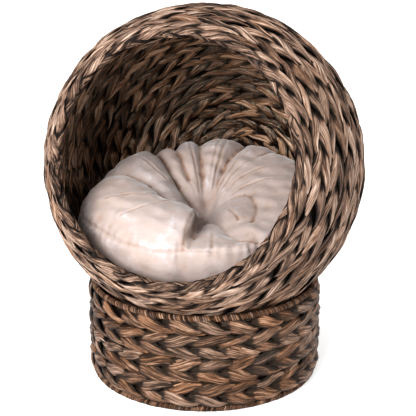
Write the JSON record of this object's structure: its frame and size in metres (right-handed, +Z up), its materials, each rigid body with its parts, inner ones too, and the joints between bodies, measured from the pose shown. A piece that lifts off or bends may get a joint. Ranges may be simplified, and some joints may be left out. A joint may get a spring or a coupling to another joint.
{
  "type": "wicker pet bed basket",
  "caption": "Raised wicker pet bed: a round woven pod with a wide tilted mouth, set in a woven drum base, with a loose tufted velvet cushion.",
  "frame": {"origin": "on the floor, under the middle of the whole basket's box", "axes": "+Z up; the pod's mouth faces -Y and looks up a little; +X is to the right as one looks into the mouth from the front"},
  "size_m": [0.5026, 0.4671, 0.5935],
  "materials": {
    "leaf_weave": "matte",
    "shaded_leaf_weave": "matte",
    "rim_leaf": "matte",
    "leaf_cord": "matte",
    "steel_wire": "satin",
    "velvet": "matte",
    "filling": "matte",
    "thread": "matte"
  },
  "bodies": {
    "basket": {"pod_outer_weave": "leaf_weave", "pod_inner_weave": "shaded_leaf_weave", "pod_rim_braid": "rim_leaf", "pod_rim_hoop": "steel_wire", "pod_rib_01": "steel_wire", "pod_rib_02": "steel_wire", "pod_rib_03": "steel_wire", "pod_rib_04": "steel_wire", "pod_rib_05": "steel_wire", "pod_rib_06": "steel_wire", "pod_rib_07": "steel_wire", "pod_rib_08": "steel_wire", "pod_rib_09": "steel_wire", "pod_rib_10": "steel_wire", "pod_rib_11": "steel_wire", "pod_rib_12": "steel_wire", "pod_hoop_1": "steel_wire", "pod_hoop_2": "steel_wire", "pod_hoop_3": "steel_wire", "pod_back_ring": "steel_wire", "base_top_wrap": "leaf_cord", "base_top_ring": "steel_wire", "base_bottom_wrap": "leaf_cord", "base_bottom_ring": "steel_wire", "base_outer_weave": "leaf_weave", "base_inner_weave": "shaded_leaf_weave", "base_post_01": "steel_wire", "base_post_02": "steel_wire", "base_post_03": "steel_wire", "base_post_04": "steel_wire", "base_post_05": "steel_wire", "base_post_06": "steel_wire", "base_post_07": "steel_wire", "base_post_08": "steel_wire", "base_post_09": "steel_wire", "base_post_10": "steel_wire", "base_post_11": "steel_wire", "base_post_12": "steel_wire", "pod_fixing_pin_1": "steel_wire", "pod_fixing_pin_2": "steel_wire", "pod_fixing_pin_3": "steel_wire", "pod_fixing_pin_4": "steel_wire"},
    "cushion": {"cushion_top_panel": "velvet", "cushion_side_band": "velvet", "cushion_bottom_panel": "velvet", "cushion_filling": "filling", "cushion_tuft_tie": "thread"}
  },
  "joints": [
    {"name": "cushion_lift", "type": "slide", "parent": "basket", "child": "cushion", "axis": [0, -0.1392, 0.9903], "range_m": [0, 0.17]}
  ]
}
